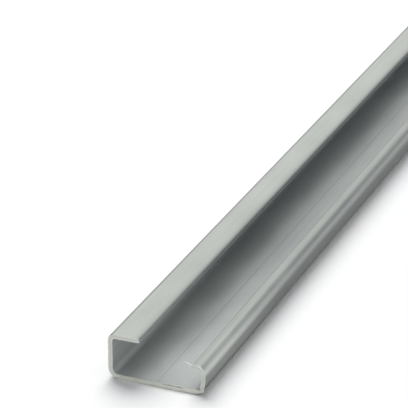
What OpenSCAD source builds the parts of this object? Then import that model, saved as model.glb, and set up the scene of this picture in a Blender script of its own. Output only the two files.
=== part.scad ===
// Asymmetric hooked mounting rail (G profile, 32 mm wide), roll-formed from one strip of zinc-plated steel.
//
// Frame: X runs across the rail, Y along it and Z up from the face that lies on the panel.
// The origin is the middle of that face. The deep flange is on the -X side, the low one on the +X side.
// Sizes are in millimetres.

/* [Rail] */
// Length of the cut piece
rail_length = 1000; // [50:1:3000]
// Width over the two flanges
rail_width = 32; // [28:0.5:60]
// Thickness of the strip
sheet = 1.5; // [1.2:0.1:2]

/* [Deep flange] */
// Height over the deep flange
deep_height = 15; // [12:0.5:30]
// Flat width of the deep lip, from its bend to its edge
deep_lip_flat = 8; // [3:0.1:9]
// Inside radius of the bend from the base to the deep flange
deep_foot_r = 1.9; // [0.5:0.1:2.5]
// Inside radius of the bend from the deep flange to its lip
deep_top_r = 1; // [0.5:0.1:2.5]

/* [Low flange] */
// Height over the low flange
low_height = 10; // [9.5:0.5:14]
// Flat width of the low lip, from its bend to its edge
low_lip_flat = 0.8; // [0.6:0.1:3]
// Inside radius of the bend from the base to the low flange
low_foot_r = 2.2; // [0.5:0.1:2.5]
// Inside radius of the bend from the low flange to its lip
low_top_r = 2.2; // [0.5:0.1:2.5]

/* [Edges and centre line] */
// Rounding left by the slitting shear on the strip's two long edges
edge_r = 0.5; // [0.1:0.05:0.5]
// Width of the rolled centre line, which guides the drill
scribe_width = 0.6; // [0.2:0.05:1]
// Depth of the rolled centre line
scribe_depth = 0.15; // [0.05:0.05:0.5]

/* [Hidden] */
$fn = 64;

// How far the deep lip's edge lies from the outer face of its flange
deep_lip_reach = outer(deep_top_r) + deep_lip_flat;

// The strip's path along its outer face, from the deep lip's edge to the low lip's edge:
// each step is a flat's length and the inside radius of the quarter bend that ends it.
strip_steps = [
    [deep_lip_flat, deep_top_r],
    [deep_height - outer(deep_top_r) - outer(deep_foot_r), deep_foot_r],
    [rail_width - outer(deep_foot_r) - outer(low_foot_r), low_foot_r],
    [low_height - outer(low_foot_r) - outer(low_top_r), low_top_r],
    [low_lip_flat]
];

// Outside radius of a bend, from its inside radius
function outer(inner_r) = inner_r + sheet;

// A quarter bend: it starts at the origin, running along +X, and turns towards +Y.
module bend(inner_r) {
    size = outer(inner_r);
    translate([0, size])
        intersection() {
            difference() {
                circle(size);
                circle(inner_r);
            }
            translate([0, -size])
                square(size);
        }
}

// A flat that ends the strip: it runs along +X from the origin, with both corners of its free end rounded.
module last_flat(length) {
    square([length - edge_r, sheet]);
    translate([length - 2 * edge_r, edge_r])
        square([2 * edge_r, sheet - 2 * edge_r]);
    for (y = [edge_r, sheet - edge_r])
        translate([length - edge_r, y])
            circle(edge_r);
}

// The bent strip: flats and quarter bends laid end to end, each starting where the last one stops
module strip(steps, i = 0) {
    length = steps[i][0];
    inner_r = steps[i][1];
    if (i == 0)
        translate([length, 0])
            mirror([1, 0])
                last_flat(length);
    else if (i == len(steps) - 1)
        last_flat(length);
    else
        square([length, sheet]);
    if (i < len(steps) - 1) {
        translate([length, 0])
            bend(inner_r);
        translate([length + outer(inner_r), outer(inner_r)])
            rotate(90)
                strip(steps, i + 1);
    }
}

// The fine V-shaped line rolled into the base's upper face, midway between the flanges
module scribe() {
    polygon([
        [0, sheet - scribe_depth],
        [scribe_width, sheet + scribe_depth],
        [-scribe_width, sheet + scribe_depth]
    ]);
}

// The section, looking along the rail: its base is centred on X = 0, with the underside on Y = 0.
module section() {
    difference() {
        translate([deep_lip_reach - rail_width / 2, deep_height])
            rotate(180)
                strip(strip_steps);
        scribe();
    }
}

module rail() {
    color("lightslategray")
        translate([0, rail_length / 2, 0])
            rotate([90, 0, 0])
                linear_extrude(rail_length)
                    section();
}

rail();
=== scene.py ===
"""Looks for the G-profile mounting rail: one bent strip of zinc-plated steel, lying on a white studio floor.

Everything is in metres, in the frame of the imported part: X across the rail, Y along it, Z up, the origin in
the middle of the underside. The strip is swept again here with finer bends, its slit edges and its sawn ends.
"""
import math

import bmesh
import bpy
import numpy as np
from mathutils import Matrix, Vector

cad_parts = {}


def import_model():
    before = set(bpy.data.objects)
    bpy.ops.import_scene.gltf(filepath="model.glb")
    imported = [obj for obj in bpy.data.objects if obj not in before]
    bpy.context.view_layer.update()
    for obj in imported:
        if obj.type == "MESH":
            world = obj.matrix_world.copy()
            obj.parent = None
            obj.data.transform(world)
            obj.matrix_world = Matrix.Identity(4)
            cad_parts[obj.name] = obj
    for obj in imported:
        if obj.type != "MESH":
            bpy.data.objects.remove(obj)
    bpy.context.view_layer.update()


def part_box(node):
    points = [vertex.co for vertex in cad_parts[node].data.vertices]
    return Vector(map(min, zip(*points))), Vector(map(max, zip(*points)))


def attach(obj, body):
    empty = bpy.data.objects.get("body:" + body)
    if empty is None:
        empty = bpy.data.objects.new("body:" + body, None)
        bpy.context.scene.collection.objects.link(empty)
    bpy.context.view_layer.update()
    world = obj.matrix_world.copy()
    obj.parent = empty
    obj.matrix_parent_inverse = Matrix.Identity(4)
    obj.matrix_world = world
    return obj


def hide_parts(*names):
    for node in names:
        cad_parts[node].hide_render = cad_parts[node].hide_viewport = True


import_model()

MM = 0.001
LOW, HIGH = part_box("rail")

# ---------------------------------------------------------------- the section, as in the part's source
LENGTH = HIGH.y - LOW.y
WIDTH = HIGH.x - LOW.x
DEEP_HEIGHT = HIGH.z - LOW.z
SHEET = 1.5 * MM
DEEP_LIP_FLAT = 8.0 * MM
DEEP_FOOT_R = 1.9 * MM      # inside radii of the four bends
DEEP_TOP_R = 1.0 * MM
LOW_HEIGHT = 10.0 * MM
LOW_LIP_FLAT = 0.8 * MM
LOW_FOOT_R = 2.2 * MM
LOW_TOP_R = 2.2 * MM
EDGE_R = 0.5 * MM           # rounding of the strip's two slit edges
SCRIBE_WIDTH = 0.6 * MM
SCRIBE_RELIEF = 0.05 * MM   # depth of the centre line, softened by the plating that fills it
DEEP_EDGE_X = DEEP_TOP_R + SHEET + DEEP_LIP_FLAT - WIDTH / 2    # the deep lip's slit edge
BASE_STEP = 2               # the base's place among the strip's steps, counted from 0

# ---------------------------------------------------------------- fine relief that only the visual model has
SHOULDER_WIDTH = 2.4 * MM   # how far in from the deep lip's slit edge its outer face starts to droop
SHOULDER_DROP = 0.15 * MM   # how far it has dropped at the edge
DRAG_WIDTH = 1.2 * MM       # the outer corner of that edge, which the shear dragged round
DRAG_DEPTH = 0.7 * MM
SPRINGBACK = math.tan(math.radians(3))      # lean of the low flange's wall, below its top bend
SPRINGBACK_FADE = (9 * MM, 13 * MM)         # the stretch of the base that takes up the lean

# ---------------------------------------------------------------- how finely it is meshed
COLUMN = 0.2 * MM           # spacing of the mesh lines round the section, on the flats
BEND_STEPS = 18             # facets in each quarter bend
EDGE_STEPS = 12             # facets in each rounded corner of a slit edge
END_STATIONS = [0, 0.05, 0.12, 0.2, 0.3, 0.45, 0.7, 1.1, 1.8, 3, 6, 12]   # mm in from a sawn end
MIDDLE_STATION = 25 * MM    # spacing of the cross-sections between the ends
CAP_ROWS = 10               # rows of faces across the sheet on a cut face
LEVEL_SLOPE = 0.999         # a face whose normal stands at least this upright is level
SHARP_ANGLE = math.radians(32)      # faces that meet at more than this aren't shaded as one

# ---------------------------------------------------------------- the sawn ends
SEED = 32                   # of all the random unevenness
CUT_INSET = 0.18 * MM       # how far the cut face lies inside the box, so that its burr stays in the box
NEAR_CUT = CUT_INSET - LENGTH / 2
FAR_CUT = LENGTH / 2 - CUT_INSET
CUT_ROUGHNESS = 0.035 * MM  # unevenness of the cut face
CUT_FEATURE = 0.7 * MM      # length of its waves along the strip
CUT_CURVE = 6               # how late across the sheet the cut face turns out to meet the burr
ROLL_DEPTH = 0.10 * MM      # rounding of the outer edges, where the blade went in
ROLL_WIDTH = 0.45 * MM
ROLL_VARIATION = 0.6        # how unevenly they are rounded, as a share of that depth
ROLL_FEATURE = 0.8 * MM
BURR_WIDTH = 0.45 * MM      # how far along the rail a burr's root reaches
BURR_HEIGHT = 0.09 * MM     # usual height of the burr on the inner edges, where the blade came out
BURR_FEATURE = 1.3 * MM     # length of its slow changes along the edge
TEETH_FEATURE = 0.45 * MM   # and of its teeth
BURR_TEETH = 0.4            # how much the teeth change the usual burr and the ridge, as shares of them
RIDGE_TEETH = 0.25
BURR_LEAN = 0.12 * MM       # how far the ridge's crest leans back over the rail
RIDGE_HEIGHT = 0.36 * MM    # the ridge, a heavy burr on part of the base
RIDGE_NEAR = (1.4 * MM, 9.0 * MM)       # where it starts and stops across the rail, at each cut
RIDGE_FAR = (-7.5 * MM, 2.0 * MM)
RIDGE_RISE = 1.2 * MM       # the stretches over which it rises and falls off again
RIDGE_FALL = 1.6 * MM
GROOVE_DEPTH = 0.25 * MM    # the torn groove under the ridge
GROOVE_LEVEL = 0.62         # its distance from the outer face and its width, as shares of the sheet
GROOVE_WIDTH = 0.09
NICK_SIZE = 0.55 * MM       # a nick in the near cut's inner edge, at the foot of the low flange
NICK_DEPTH = 0.9 * MM
NICK_BITE = 0.35 * MM
NICK_TURN = math.radians(60)    # how far below the level of the bend's centre it is
BUMP_SIZE = 0.75 * MM       # a burr folded out at the same foot's outer corner
BUMP_HEIGHT = 0.42 * MM
BUMP_TURN = math.radians(38)
FOLD_REACH = 2.2 * MM       # how far along the rail the nick and the bump fade out

# A torn sliver that stands up from the low lip's near cut: (x, z, radius) along it, in millimetres
SLIVER = [(12.3, 9.1, 0.3), (11.6, 9.35, 0.28), (10.8, 9.6, 0.22), (9.9, 9.98, 0.16), (8.9, 10.2, 0.07)]
SLIVER_SIDES = 8
SLIVER_FLAT = 0.8           # its thickness along the rail, as a share of its height
SLIVER_SKEW = 0.3           # how far its top leans across the rail, as a share of its height
SLIVER_INSET = 0.3 * MM     # from the cut to its middle
SLIVER_BARE = 0.6           # its share of bare steel

# ---------------------------------------------------------------- soil and painted shade: 0 is clean zinc, 1 is the dark tone all over
SCRIBE_DARKENING = 0.28          # how much darker the rolled line is
CUT_SOIL = 0.28             # on the flanges' cut faces, midway across the sheet
CUT_SOIL_SLOPE = (0.7, 1.0)     # the slope of the strip over which that ends, towards the base
GROOVE_SHADE = 0.9           # painted shade in the torn groove
LOW_LIP_SHADE = 0.25         # painted shade on the low lip's outer face
LOW_BEND_SLOPE = 0.75       # the change of slope over which the low wall's painted shade ends, in its top bend
LIP_LEVEL = (0.9, 1.0)      # the slope over which the lip's painted shade sets in near the ends, beyond a top bend left light there
DEEP_WALL_SHADE = 0.3        # painted shade on the deep flange's outer wall, below the painted dark stripe of its top bend
DEEP_BEND_START = (0.2, 0.64)   # the slopes of the deep top bend over which its painted dark stripe sets in
DEEP_BEND_STOP = (0.86, 1.0)    # and over which it ends
FOOT_SHADE_SLOPE = (-0.85, -0.3)  # the slope of the foot bends over which the walls' painted shade sets in
UNDER_LIP_SHADE = 0.2        # painted shade in the channel, under the deep lip
UNDER_LIP_EDGE = (DEEP_EDGE_X - 1 * MM, DEEP_EDGE_X + 4 * MM)   # where that ends across the rail
FOOT_BEND_SHADE = 0.45       # more painted shade in the channel's deep foot bend, darkening its reflection
CHANNEL_SHADE_START = (-15 * MM, 110 * MM)   # distances from a cut over which the channel's painted shade sets in
EDGE_SHADE_REACH = 0.9 * MM  # how fast the painted shade on the deep lip's slit edge fades
FILM_SHADE = 0.28            # painted shade over the channel's faces, left off the base near the ends as painted light
LIT_END_START = (-10 * MM, 16 * MM)   # distances from a cut over which that painted light sets in
LIT_END_REACH = (10 * MM, 75 * MM)    # and over which it ends
LIT_END_EDGE = 6 * MM         # how far under the deep lip the base gets it
LIT_END_BEND = 0.25           # how much further down the low flange the painted light near the ends reaches, as a change of slope
LIT_END_LIP = 0.6             # how much of the deep lip's painted edge shade is left there


def outer(inner_r):
    """Outside radius of a bend."""
    return inner_r + SHEET


def strip_steps():
    """Flats and the bends that end them, from the deep lip's edge round to the low lip's edge."""
    return [
        (DEEP_LIP_FLAT, DEEP_TOP_R),
        (DEEP_HEIGHT - outer(DEEP_TOP_R) - outer(DEEP_FOOT_R), DEEP_FOOT_R),
        (WIDTH - outer(DEEP_FOOT_R) - outer(LOW_FOOT_R), LOW_FOOT_R),
        (LOW_HEIGHT - outer(LOW_FOOT_R) - outer(LOW_TOP_R), LOW_TOP_R),
        (LOW_LIP_FLAT, None),
    ]


def smooth(value, start, stop):
    """0 up to start, 1 from stop, and a smooth step between."""
    t = np.clip((value - start) / (stop - start), 0, 1)
    return t * t * (3 - 2 * t)


def fading(distance, reach):
    """1 at distance 0, falling to 0 at reach, fastest at first."""
    return max(0.0, 1 - distance / reach) ** 2


def spaced(start, stop):
    """Distances from start to stop, about COLUMN apart, without the last."""
    count = max(1, math.ceil((stop - start) / COLUMN))
    return np.linspace(start, stop, count, endpoint=False)


def edge_distances(reach):
    """Distances from a slit edge at which its rounded corner is sampled."""
    turn = np.linspace(0, math.pi / 2, EDGE_STEPS, endpoint=False)
    return reach * (1 - np.cos(turn))


def corner_inset(distance, width, depth):
    """How far a face is drawn in by its rounded corner, at a distance from the slit edge."""
    if distance >= width:
        return 0.0
    return depth * (1 - math.sqrt(1 - (1 - distance / width) ** 2))


def section_columns():
    """The strip's two faces, point by point round the section: arrays of outer (x, z), inner (x, z), the unit
    normal from the outer face towards the inner one, and the distance run along the strip."""
    place = np.array([DEEP_EDGE_X, DEEP_HEIGHT])
    heading = np.array([-1.0, 0.0])
    steps = strip_steps()
    total = sum(flat for flat, _ in steps) + sum(math.pi / 2 * outer(r) for _, r in steps if r is not None)
    outside, inside, normals, run = [], [], [], []

    def add(point, normal, along):
        corner = corner_inset(min(along, total - along), EDGE_R, EDGE_R)
        drag = corner_inset(along, DRAG_WIDTH, DRAG_DEPTH) + SHOULDER_DROP * fading(along, SHOULDER_WIDTH)
        outside.append(point + normal * max(corner, drag))
        inside.append(point + normal * (SHEET - corner))
        normals.append(normal)
        run.append(along)

    covered = 0.0
    for i, (flat, inner_r) in enumerate(steps):
        normal = np.array([-heading[1], heading[0]])
        if i == 0:
            distances = list(edge_distances(DRAG_WIDTH)) + list(spaced(DRAG_WIDTH, flat))
        elif i == BASE_STEP:
            middle = -place[0]
            half = SCRIBE_WIDTH / 2
            distances = list(spaced(0, middle - half)) + [middle - half, middle]
            distances += list(spaced(middle + half, flat))
        elif i == len(steps) - 1:
            distances = sorted(flat - edge_distances(flat))
        else:
            distances = list(spaced(0, flat))
        for d in distances:
            add(place + heading * d, normal, covered + d)
        if inner_r is None:
            break
        place = place + heading * flat
        covered += flat
        centre = place + normal * outer(inner_r)
        for step in range(BEND_STEPS):
            turn = math.pi / 2 * step / BEND_STEPS
            inward = normal * math.cos(turn) - heading * math.sin(turn)
            add(centre - inward * outer(inner_r), inward, covered + turn * outer(inner_r))
        covered += math.pi / 2 * outer(inner_r)
        place = place + (heading + normal) * outer(inner_r)
        heading = normal
    return np.array(outside), np.array(inside), np.array(normals), np.array(run)


def roll_scribe(inside, on_base):
    """Presses the V-shaped centre line into the base's upper face."""
    pressed = inside.copy()
    depth = SCRIBE_RELIEF * np.clip(1 - np.abs(inside[:, 0]) / (SCRIBE_WIDTH / 2), 0, 1)
    pressed[on_base, 1] -= depth[on_base]
    return pressed


def spring_back(points):
    """Leans the low flange's wall a little, with its foot drawn in under it."""
    leant = points.copy()
    below = np.maximum(0, LOW_HEIGHT - outer(LOW_TOP_R) - points[:, 1])
    leant[:, 0] -= SPRINGBACK * below * smooth(points[:, 0], *SPRINGBACK_FADE)
    return leant


def wander(run, feature, rng):
    """A smooth random line of values from -1 to 1 along the strip, with features about that long."""
    knots = math.ceil(run[-1] / feature) + 3
    values = rng.uniform(-1, 1, knots)
    place = run / feature
    knot = place.astype(int)
    share = smooth(place - knot, 0, 1)
    return values[knot] * (1 - share) + values[knot + 1] * share


def bell(points, centre, size):
    """1 at centre, falling smoothly to 0 at about twice size from it."""
    return np.exp(-np.sum((points - np.array(centre)) ** 2, axis=1) / size ** 2)


def low_foot(radius, turn):
    """A point of the low flange's foot bend, at a radius and an angle below its centre."""
    centre = outer(LOW_FOOT_R)
    return WIDTH / 2 - centre + radius * math.cos(turn), centre - radius * math.sin(turn)


def wall_shade(points, normals, at_lit_end):
    """Painted shade on the flanges' outer walls: from their feet up into their top bends, with a painted dark
    stripe in the deep top bend. Near the ends painted light takes it off the low flange's top bend, and in
    part off its wall."""
    up = -normals[:, 1]
    bend_shade = LOW_LIP_SHADE * (smooth(up, *LIP_LEVEL) if at_lit_end else 1)
    lowest = -LIT_END_BEND if at_lit_end else 0.0
    low_side = 1 - (1 - bend_shade) * smooth(up, lowest, lowest + LOW_BEND_SLOPE)
    stripe = DEEP_WALL_SHADE + (1 - DEEP_WALL_SHADE) * smooth(up, *DEEP_BEND_START)
    deep_side = (1 - smooth(up, *DEEP_BEND_STOP)) * stripe
    return np.where(points[:, 0] > 0, low_side, deep_side) * smooth(up, *FOOT_SHADE_SLOPE)


def channel_shade(points, normals):
    """Painted shade on the channel's faces: under the deep lip, and most in the foot bend."""
    under_lip = 1 - smooth(points[:, 0], *UNDER_LIP_EDGE)
    in_bend = np.clip(normals[:, 0], 0, 1) * np.clip(normals[:, 1], 0, 1) * 2
    return under_lip * (UNDER_LIP_SHADE + FOOT_BEND_SHADE * in_bend)


class Strip:
    """The bent section, point by point round its two faces, with the painted shade and the rolled line's
    darkening on them.
    """

    def __init__(self):
        outside, inside, self.normals, self.run = section_columns()
        self.count = len(self.run)
        on_base = self.normals[:, 1] > LEVEL_SLOPE
        self.on_base = on_base
        self.scribe_darkening = SCRIBE_DARKENING * (on_base * (np.abs(inside[:, 0]) < SCRIBE_WIDTH / 4))
        self.inside = spring_back(roll_scribe(inside, on_base))
        self.outside = spring_back(outside)

        # painted shade on the deep lip's slit edge and on the outer walls, less of it near the ends as
        # painted light
        edge_shade = np.exp(-self.run / EDGE_SHADE_REACH)
        self.outer_shade = np.maximum(wall_shade(self.outside, self.normals, False), edge_shade)
        self.lit_end_shade = np.maximum(wall_shade(self.outside, self.normals, True), LIT_END_LIP * edge_shade)
        self.channel_shade = channel_shade(self.inside, self.normals)
        self.open_base = on_base * smooth(self.inside[:, 0], DEEP_EDGE_X - LIT_END_EDGE, DEEP_EDGE_X)

        self.nick = bell(self.inside, low_foot(LOW_FOOT_R, NICK_TURN), NICK_SIZE)
        self.bump = bell(self.outside, low_foot(outer(LOW_FOOT_R), BUMP_TURN), BUMP_SIZE)

    def soil(self, distance, fold):
        """Painted shade on the outer face, and painted shade with the rolled line's darkening on the inner
        face, at a distance from a cut; fold is the share of its nick.
        """
        # near a cut the painted shade gives way to painted light; the film is painted shade over the channel
        beyond_lit_end = smooth(distance, *LIT_END_REACH)
        outer_shade = self.lit_end_shade + beyond_lit_end * (self.outer_shade - self.lit_end_shade)
        film_shade = FILM_SHADE * (1 - (1 - beyond_lit_end) * smooth(distance, *LIT_END_START) * self.open_base)
        deep_in = smooth(distance, *CHANNEL_SHADE_START)
        # painted shade in the nick's pit and in the channel, with the rolled line's darkening
        spots = np.maximum.reduce([self.scribe_darkening, fold * self.nick, deep_in * self.channel_shade])
        return outer_shade, 1 - (1 - spots) * (1 - film_shade)


def burr_heights(strip, ridge, rng):
    """Height of the burr on a cut's inner edge, column by column, with the ridge on its stretch of base."""
    ragged = 0.5 + 0.5 * wander(strip.run, BURR_FEATURE, rng)
    teeth = wander(strip.run, TEETH_FEATURE, rng)
    usual = BURR_HEIGHT * np.clip(ragged + BURR_TEETH * teeth, 0, None)
    start, stop = ridge
    x = strip.inside[:, 0]
    rise = smooth(x, start, start + RIDGE_RISE)
    fall = 1 - smooth(x, stop - RIDGE_FALL, stop)
    heavy = rise * fall * strip.on_base
    return usual + RIDGE_HEIGHT * heavy * (1 - RIDGE_TEETH + RIDGE_TEETH * teeth)


class Cut:
    """A sawn end: where it is, which way the rail runs from it, and the unevenness of its two edges."""

    def __init__(self, strip, y, inward, ridge, rng):
        self.y = y
        self.inward = inward
        self.burr = burr_heights(strip, ridge, rng)
        self.roll = 1 + ROLL_VARIATION * wander(strip.run, ROLL_FEATURE, rng)


class Shell:
    """A mesh in the making. At each point it has the share of bare cut steel, of soil and painted shade, and
    of skin smoothed by the rolls."""

    def __init__(self):
        self.points, self.faces = [], []
        self.shares = {"bare": [], "soil": [], "rolled": []}

    def add(self, points, **shares):
        """Adds points with their shares, each a number or one per point, and gives the first's index."""
        first = len(self.points)
        self.points += [tuple(point) for point in points]
        for name, values in self.shares.items():
            values += list(np.broadcast_to(shares.get(name, 0.0), len(points)))
        return first

    def mesh(self, name):
        made = bpy.data.meshes.new(name)
        made.from_pydata(self.points, [], self.faces)
        for share, values in self.shares.items():
            made.attributes.new(share, "FLOAT", "POINT").data.foreach_set("value", values)
        return made


def stations():
    """Where the cross-sections lie along the rail: close together at the cuts, wide apart between them."""
    near = [NEAR_CUT + s * MM for s in END_STATIONS]
    far = [FAR_CUT - s * MM for s in END_STATIONS][::-1]
    count = round((far[0] - near[-1]) / MIDDLE_STATION)
    return near + list(np.linspace(near[-1], far[0], count + 1))[1:-1] + far


def add_ring(shell, strip, cut, y):
    """Adds the cross-section at y: rolled over outside and burred inside near the cut, and at the near one
    with the bump and the nick. The ring runs round the outer face and back along the inner one."""
    distance = (y - cut.y) * cut.inward
    root = fading(distance, BURR_WIDTH)
    fold = fading(distance, FOLD_REACH) if cut.inward > 0 else 0.0
    roll = ROLL_DEPTH * fading(distance, ROLL_WIDTH)
    outside = strip.outside + strip.normals * (roll * cut.roll)[:, None]
    outside = outside - strip.normals * (BUMP_HEIGHT * fold * strip.bump)[:, None]
    inside = strip.inside + strip.normals * (cut.burr * root)[:, None]
    inside = inside - strip.normals * (NICK_BITE * fold * strip.nick)[:, None]
    lean = BURR_LEAN * np.clip(cut.burr / RIDGE_HEIGHT, 0, 1) * root
    draw = lean * (1 - strip.nick) + NICK_DEPTH * fold * strip.nick

    # painted shade on both faces, with painted light near the cut
    outer_shade, inner_darkening = strip.soil(distance, fold)
    at_cut = 1.0 if distance == 0 else 0.0
    burred = np.clip(1 - distance / BURR_WIDTH, 0, 1) * (cut.burr > BURR_HEIGHT)
    first = shell.add([(x, y, z) for x, z in outside], bare=at_cut, soil=outer_shade, rolled=1.0)
    back = [(x, y + cut.inward * d, z) for (x, z), d in zip(inside, draw)][::-1]
    shell.add(back, bare=burred[::-1], soil=inner_darkening[::-1])
    return first


def close_cut(shell, strip, cut, first, rng):
    """Closes an end with rows of faces across the sheet, uneven from the saw and grooved under the ridge."""
    count = strip.count
    outer_row = np.array(shell.points[first:first + count])
    inner_row = np.array(shell.points[first + count:first + 2 * count])[::-1]
    across = inner_row - outer_row
    heavy = np.clip(cut.burr / RIDGE_HEIGHT, 0, 1)
    cut_soil = CUT_SOIL * (1 - smooth(strip.normals[:, 1], *CUT_SOIL_SLOPE))
    rows = [[first + i for i in range(count)]]
    for r in range(1, CAP_ROWS):
        share = r / CAP_ROWS
        level = CUT_ROUGHNESS * (wander(strip.run, CUT_FEATURE, rng) - 1)
        groove = heavy * math.exp(-((share - GROOVE_LEVEL) / GROOVE_WIDTH) ** 2)
        row = outer_row + across * share
        row[:, 1] = outer_row[:, 1] + across[:, 1] * share ** CUT_CURVE
        row[:, 1] -= cut.inward * (level - GROOVE_DEPTH * groove)
        # painted shade in the nick and the torn groove; the flanges' cut faces darker midway
        spots = [strip.nick * share ** 2, cut_soil * math.sin(math.pi * share), GROOVE_SHADE * groove]
        start = shell.add(row, bare=1.0, soil=np.maximum.reduce(spots))
        rows.append([start + i for i in range(count)])
    rows.append([first + 2 * count - 1 - i for i in range(count)])
    for upper, lower in zip(rows, rows[1:]):
        for i in range(count - 1):
            face = (upper[i], upper[i + 1], lower[i + 1], lower[i])
            shell.faces.append(face[::-1] if cut.inward > 0 else face)


def add_sliver(shell, y):
    """Adds the torn sliver, a closed and tapered one, rooted in the low lip."""
    points = []
    for x, z, radius in SLIVER:
        for k in range(SLIVER_SIDES):
            turn = 2 * math.pi * k / SLIVER_SIDES
            lift = radius * math.sin(turn)
            along = SLIVER_FLAT * radius * math.cos(turn)
            points.append(((x + SLIVER_SKEW * lift) * MM, y + along * MM, (z + lift) * MM))
    first = shell.add(points, bare=SLIVER_BARE)
    last = first + len(points) - SLIVER_SIDES
    for a in range(first, last, SLIVER_SIDES):
        for k in range(SLIVER_SIDES):
            j = (k + 1) % SLIVER_SIDES
            shell.faces.append((a + k, a + j, a + SLIVER_SIDES + j, a + SLIVER_SIDES + k))
    shell.faces.append(tuple(range(first, first + SLIVER_SIDES)))
    shell.faces.append(tuple(range(last, last + SLIVER_SIDES)))


def rail_mesh():
    """The whole strip as one closed shell, and the sliver as another."""
    strip = Strip()
    rng = np.random.default_rng(SEED)
    near = Cut(strip, NEAR_CUT, 1, RIDGE_NEAR, rng)
    far = Cut(strip, FAR_CUT, -1, RIDGE_FAR, rng)
    shell = Shell()
    rings = [add_ring(shell, strip, near if y < 0 else far, y) for y in stations()]
    around = 2 * strip.count
    for a, b in zip(rings, rings[1:]):
        for i in range(around):
            j = (i + 1) % around
            shell.faces.append((a + i, a + j, b + j, b + i))
    close_cut(shell, strip, near, rings[0], rng)
    close_cut(shell, strip, far, rings[-1], rng)
    add_sliver(shell, NEAR_CUT + SLIVER_INSET)
    return shell.mesh("rail_strip")


def rail_piece():
    """The rail's object, with its faces turned outwards and shaded smooth between sharp edges."""
    mesh = rail_mesh()
    piece = bpy.data.objects.new("rail_strip", mesh)
    bpy.context.scene.collection.objects.link(piece)
    bm = bmesh.new()
    bm.from_mesh(mesh)
    bmesh.ops.recalc_face_normals(bm, faces=bm.faces)
    bm.to_mesh(mesh)
    bm.free()
    mesh.shade_smooth()
    mesh.set_sharp_from_angle(angle=SHARP_ANGLE)
    return piece


# ---------------------------------------------------------------- materials
ZINC_OUTSIDE = (0.540, 0.566, 0.530)
ZINC_INSIDE = (0.693, 0.722, 0.711)     # of the channel, lighter to make up for its painted shade, which near the ends is left off as painted light
BARE = (0.715, 0.73, 0.67)      # cut steel
CUT_STREAK = 0.88               # its tone in the darkest lines left by the saw
SOIL_AND_SHADE_TONE = (0.160, 0.167, 0.167)    # the dark tone that soil and painted shade turn the zinc to
BASE_ROUGH = 0.60
ROLLED_ROUGH = 0.45             # of the outer face, which ran against the rolls
BUMP_STRENGTH = 0.25
BUMP_DISTANCE = 0.03 * MM

# Noise patterns: scale, stretch along X, Y and Z, detail, roughness
STREAKS = (1.0, (2600, 14, 2600), 3, 0.6)       # lines drawn along the rail by the rolls
CLOUDS = (90, (1, 0.35, 1), 4, 0.55)            # slow changes in the plating
GRAIN = (2200, (1, 0.6, 1), 2, 0.6)             # its satin grain
SAW_LINES = (1.0, (500, 500, 9000), 2, 0.5)     # lines across the cut faces

# What the patterns do: two of a pattern's values, and what each becomes
STREAK_TONES = (0.42, 0.75, 1, 0.93)
CLOUD_TONES = (0.35, 0.65, 0.94, 1.05)
SAW_TONES = (0.3, 0.7, 0, 1)
ROUGH_CHANGES = (0.3, 0.7, -0.03, 0.03)         # by the streaks and again by the clouds


class Shader:
    """Short names for the nodes of one material."""

    def __init__(self, material):
        self.nodes = material.node_tree.nodes
        self.links = material.node_tree.links
        self.bsdf = self.nodes["Principled BSDF"]
        self.place = self.nodes.new("ShaderNodeTexCoord").outputs["Object"]

    def feed(self, socket, value):
        """Links a socket to another node's output, or sets it to a number or a colour."""
        if isinstance(value, tuple):
            socket.default_value = (*value, 1)
        elif isinstance(value, (int, float)):
            socket.default_value = value
        else:
            self.links.new(value, socket)

    def noise(self, scale, stretch, detail, rough):
        """A noise pattern over the object, with values around 0.5."""
        mapping = self.nodes.new("ShaderNodeMapping")
        mapping.inputs["Scale"].default_value = stretch
        self.feed(mapping.inputs["Vector"], self.place)
        texture = self.nodes.new("ShaderNodeTexNoise")
        self.feed(texture.inputs["Scale"], scale)
        self.feed(texture.inputs["Detail"], detail)
        self.feed(texture.inputs["Roughness"], rough)
        self.feed(texture.inputs["Vector"], mapping.outputs[0])
        return texture.outputs["Fac"]

    def share(self, name):
        """One of the shares that the mesh has at each point."""
        attribute = self.nodes.new("ShaderNodeAttribute")
        attribute.attribute_name = name
        return attribute.outputs["Fac"]

    def ramp(self, source, low, high, to_low, to_high):
        """Maps low to to_low and high to to_high, and holds those beyond them."""
        node = self.nodes.new("ShaderNodeMapRange")
        self.feed(node.inputs["Value"], source)
        self.feed(node.inputs["From Min"], low)
        self.feed(node.inputs["From Max"], high)
        self.feed(node.inputs["To Min"], to_low)
        self.feed(node.inputs["To Max"], to_high)
        return node.outputs[0]

    def blend(self, factor, first, second):
        """The first colour at factor 0 and the second at factor 1."""
        node = self.nodes.new("ShaderNodeMix")
        node.data_type = "RGBA"
        self.feed(node.inputs["Factor"], factor)
        colours = [socket for socket in node.inputs if socket.type == "RGBA"]
        self.feed(colours[0], first)
        self.feed(colours[1], second)
        return [socket for socket in node.outputs if socket.type == "RGBA"][0]

    def combine(self, operation, first, second):
        """The sum or the product of two numbers, as the operation says."""
        node = self.nodes.new("ShaderNodeMath")
        node.operation = operation
        self.feed(node.inputs[0], first)
        self.feed(node.inputs[1], second)
        return node.outputs[0]

    def scaled(self, colour, factor):
        """A colour made darker or lighter by a factor."""
        node = self.nodes.new("ShaderNodeVectorMath")
        node.operation = "SCALE"
        self.feed(node.inputs[0], colour)
        self.feed(node.inputs["Scale"], factor)
        return node.outputs[0]


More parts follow.
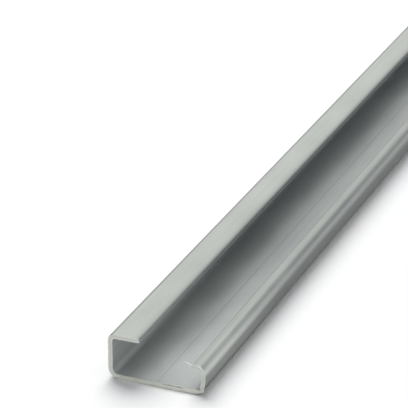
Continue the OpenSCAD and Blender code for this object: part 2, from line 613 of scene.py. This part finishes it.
def zinc_material():
    """Satin zinc plate: streaked and clouded, darkened by soil and painted shade, and bare steel with saw
    lines on the cuts.
    """
    material = bpy.data.materials.new("zinc_plate")
    material.use_nodes = True
    shader = Shader(material)
    bsdf = shader.bsdf
    bsdf.inputs["Metallic"].default_value = 1.0
    streaks = shader.noise(*STREAKS)
    clouds = shader.noise(*CLOUDS)

    cloud_tone = shader.ramp(clouds, *CLOUD_TONES)
    streak_tone = shader.ramp(streaks, *STREAK_TONES)
    zinc = shader.blend(shader.share("rolled"), ZINC_INSIDE, ZINC_OUTSIDE)
    plate = shader.scaled(zinc, shader.combine("MULTIPLY", cloud_tone, streak_tone))
    saw_lines = shader.ramp(shader.noise(*SAW_LINES), *SAW_TONES)
    cut_face = shader.blend(saw_lines, tuple(CUT_STREAK * c for c in BARE), BARE)
    colour = shader.blend(shader.share("bare"), plate, cut_face)
    # the soil and painted shade share blends the colour towards its dark tone
    shader.feed(bsdf.inputs["Base Color"], shader.blend(shader.share("soil"), colour, SOIL_AND_SHADE_TONE))

    changes = [shader.ramp(pattern, *ROUGH_CHANGES) for pattern in (streaks, clouds)]
    rough = shader.ramp(shader.share("rolled"), 0, 1, BASE_ROUGH, ROLLED_ROUGH)
    shader.feed(bsdf.inputs["Roughness"], shader.combine("ADD", rough, shader.combine("ADD", *changes)))

    bump = shader.nodes.new("ShaderNodeBump")
    shader.feed(bump.inputs["Strength"], BUMP_STRENGTH)
    shader.feed(bump.inputs["Distance"], BUMP_DISTANCE)
    shader.feed(bump.inputs["Height"], shader.combine("ADD", streaks, shader.noise(*GRAIN)))
    shader.feed(bsdf.inputs["Normal"], bump.outputs[0])
    return material


# ---------------------------------------------------------------- studio
VIEW_ELEVATION = math.radians(24.60)
VIEW_AZIMUTH = math.radians(22.48)      # the camera stands right of the rail's line, looking back along it
VIEW_DEPTH = 0.7362                     # m, to the near bottom corner of the deep flange
CORNER_LEFT = math.radians(2.2615)      # that corner's place in the picture, as angles from its middle
CORNER_BELOW = math.radians(4.0705)
LENS = 214.6                            # mm
SENSOR = 36                             # mm
CLIP = (0.01, 50)                       # m, the nearest and the farthest that it sees

FLOOR_HALF = 12
FLOOR_COLOUR = (1, 1, 1)
CARD_X = 0.35                           # a card beside the rail, for the metal to reflect
CARD_Y = (-0.3, 4)
CARD_Z = (0.15, 0.8)
CARD_COLOUR = (0.28, 0.31, 0.355)
AMBIENT = 0.18                          # the world's level on matt surfaces
AMBIENT_COLOUR = (0.93, 0.95, 1)

# The two lamps, in degrees, and the share of the floor's white that each gives
KEY_ELEVATION = 50
KEY_AZIMUTH = 30
KEY_ANGLE = 50
KEY_SHARE = 0.68
TOP_ELEVATION = 68
TOP_AZIMUTH = -60
TOP_ANGLE = 60
TOP_SHARE = 0.16


def camera():
    """The photograph's viewing angle, from its elevation, azimuth, distance and framing."""
    level = math.cos(VIEW_ELEVATION)
    right = Vector((math.cos(VIEW_AZIMUTH), math.sin(VIEW_AZIMUTH), 0))
    drop = math.sin(VIEW_ELEVATION)
    forward = Vector((-math.sin(VIEW_AZIMUTH) * level, math.cos(VIEW_AZIMUTH) * level, -drop))
    up = right.cross(forward)
    corner = Vector((LOW.x, LOW.y, 0))
    eye = corner - VIEW_DEPTH * (forward - math.tan(CORNER_LEFT) * right - math.tan(CORNER_BELOW) * up)
    data = bpy.data.cameras.new("photo_camera")
    data.sensor_width = SENSOR
    data.lens = LENS
    data.clip_start, data.clip_end = CLIP
    obj = bpy.data.objects.new("photo_camera", data)
    bpy.context.scene.collection.objects.link(obj)
    obj.matrix_world = Matrix.Translation(eye) @ Matrix((right, up, -forward)).transposed().to_4x4()
    bpy.context.scene.camera = obj


def stage_sheet(name, corners, colour):
    """A plain matt sheet of the studio."""
    mesh = bpy.data.meshes.new(name)
    mesh.from_pydata(corners, [], [(0, 1, 2, 3)])
    obj = bpy.data.objects.new(name, mesh)
    bpy.context.scene.collection.objects.link(obj)
    material = bpy.data.materials.new(name)
    material.use_nodes = True
    bsdf = material.node_tree.nodes["Principled BSDF"]
    bsdf.inputs["Base Color"].default_value = (*colour, 1)
    bsdf.inputs["Roughness"].default_value = 1
    bsdf.inputs["Specular IOR Level"].default_value = 0
    mesh.materials.append(material)
    return obj


def studio_sheets():
    """The white floor, and the card, which only reflections show."""
    half = FLOOR_HALF
    corners = [(-half, -half, 0), (half, -half, 0), (half, half, 0), (-half, half, 0)]
    stage_sheet("studio_floor", corners, FLOOR_COLOUR)
    (near, far), (bottom, top) = CARD_Y, CARD_Z
    corners = [(CARD_X, near, bottom), (CARD_X, far, bottom), (CARD_X, far, top), (CARD_X, near, top)]
    card = stage_sheet("studio_card", corners, CARD_COLOUR)
    card.visible_camera = False
    card.visible_diffuse = False
    card.visible_shadow = False


def world():
    """White to the camera and to the metal, dim to the matt floor, which the lamps whiten."""
    sky = bpy.data.worlds.new("studio")
    bpy.context.scene.world = sky
    sky.use_nodes = True
    sky.cycles.sampling_method = "NONE"     # found by rays alone, so that Is Diffuse Ray holds for all of it
    nodes, links = sky.node_tree.nodes, sky.node_tree.links
    white = nodes["Background"]
    white.inputs["Color"].default_value = (1, 1, 1, 1)
    white.inputs["Strength"].default_value = 1.0
    ambient = nodes.new("ShaderNodeBackground")
    ambient.inputs["Color"].default_value = (*AMBIENT_COLOUR, 1)
    ambient.inputs["Strength"].default_value = AMBIENT
    path = nodes.new("ShaderNodeLightPath")
    mix = nodes.new("ShaderNodeMixShader")
    links.new(path.outputs["Is Diffuse Ray"], mix.inputs["Fac"])
    links.new(white.outputs[0], mix.inputs[1])
    links.new(ambient.outputs[0], mix.inputs[2])
    links.new(mix.outputs[0], nodes["World Output"].inputs["Surface"])


def lamp(name, elevation, azimuth, angle, share, in_metal):
    """A distant soft light. Its azimuth is measured from +Y towards -X, share is what it adds to the floor's
    white, and in_metal says whether reflections show it."""
    elevation, azimuth = math.radians(elevation), math.radians(azimuth)
    data = bpy.data.lights.new(name, "SUN")
    data.energy = share * math.pi / math.sin(elevation)
    data.angle = math.radians(angle)
    obj = bpy.data.objects.new(name, data)
    bpy.context.scene.collection.objects.link(obj)
    level = math.cos(elevation)
    toward = Vector((-math.sin(azimuth) * level, math.cos(azimuth) * level, math.sin(elevation)))
    obj.rotation_euler = toward.to_track_quat("Z", "Y").to_euler()
    obj.visible_glossy = in_metal


rail = rail_piece()
rail.data.materials.append(zinc_material())
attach(rail, "root")
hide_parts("rail")
camera()
studio_sheets()
world()
lamp("key", KEY_ELEVATION, KEY_AZIMUTH, KEY_ANGLE, KEY_SHARE, False)
lamp("top_softbox", TOP_ELEVATION, TOP_AZIMUTH, TOP_ANGLE, TOP_SHARE, True)
bpy.context.scene.view_settings.view_transform = "Standard"
